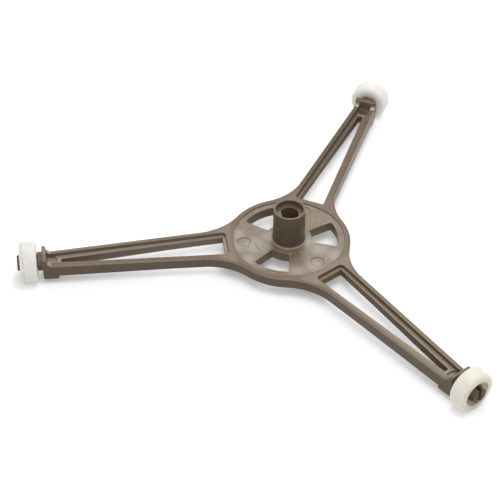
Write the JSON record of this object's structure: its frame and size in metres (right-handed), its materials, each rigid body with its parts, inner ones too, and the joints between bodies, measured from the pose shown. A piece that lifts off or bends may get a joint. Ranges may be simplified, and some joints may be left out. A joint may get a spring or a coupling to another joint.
{
  "type": "microwave turntable support",
  "caption": "Three-armed moulded frame with a D-bored drive tube on its hub and a free-turning roller snapped on at the end of each arm; it carries and turns a glass tray.",
  "frame": {"origin": "on the hub's axis in the plane of the hub's flat face, at the far end of the D bore from the tube's mouth", "axes": "+Z along the drive tube towards its mouth, which is up as the part lies on its rollers; +Y along the rear arm; the left arm points at 210 degrees and the right arm at 330 degrees from +X"},
  "size_m": [0.2042, 0.1784, 0.0253],
  "materials": {
    "frame": "satin moulded taupe-brown plastic",
    "roller": "satin cream-white plastic, slightly soiled"
  },
  "bodies": {
    "frame": {"frame": "frame"},
    "rear_roller": {"roller_rear": "roller"},
    "left_roller": {"roller_left": "roller"},
    "right_roller": {"roller_right": "roller"}
  },
  "joints": [
    {"name": "rear_roll", "type": "hinge", "parent": "frame", "child": "rear_roller", "pos_m": [0, 0.11, 0.00375], "axis": [0, 1, 0], "continuous": true},
    {"name": "left_roll", "type": "hinge", "parent": "frame", "child": "left_roller", "pos_m": [-0.09526, -0.055, 0.00375], "axis": [-0.866, -0.5, 0], "continuous": true},
    {"name": "right_roll", "type": "hinge", "parent": "frame", "child": "right_roller", "pos_m": [0.09526, -0.055, 0.00375], "axis": [0.866, -0.5, 0], "continuous": true}
  ]
}
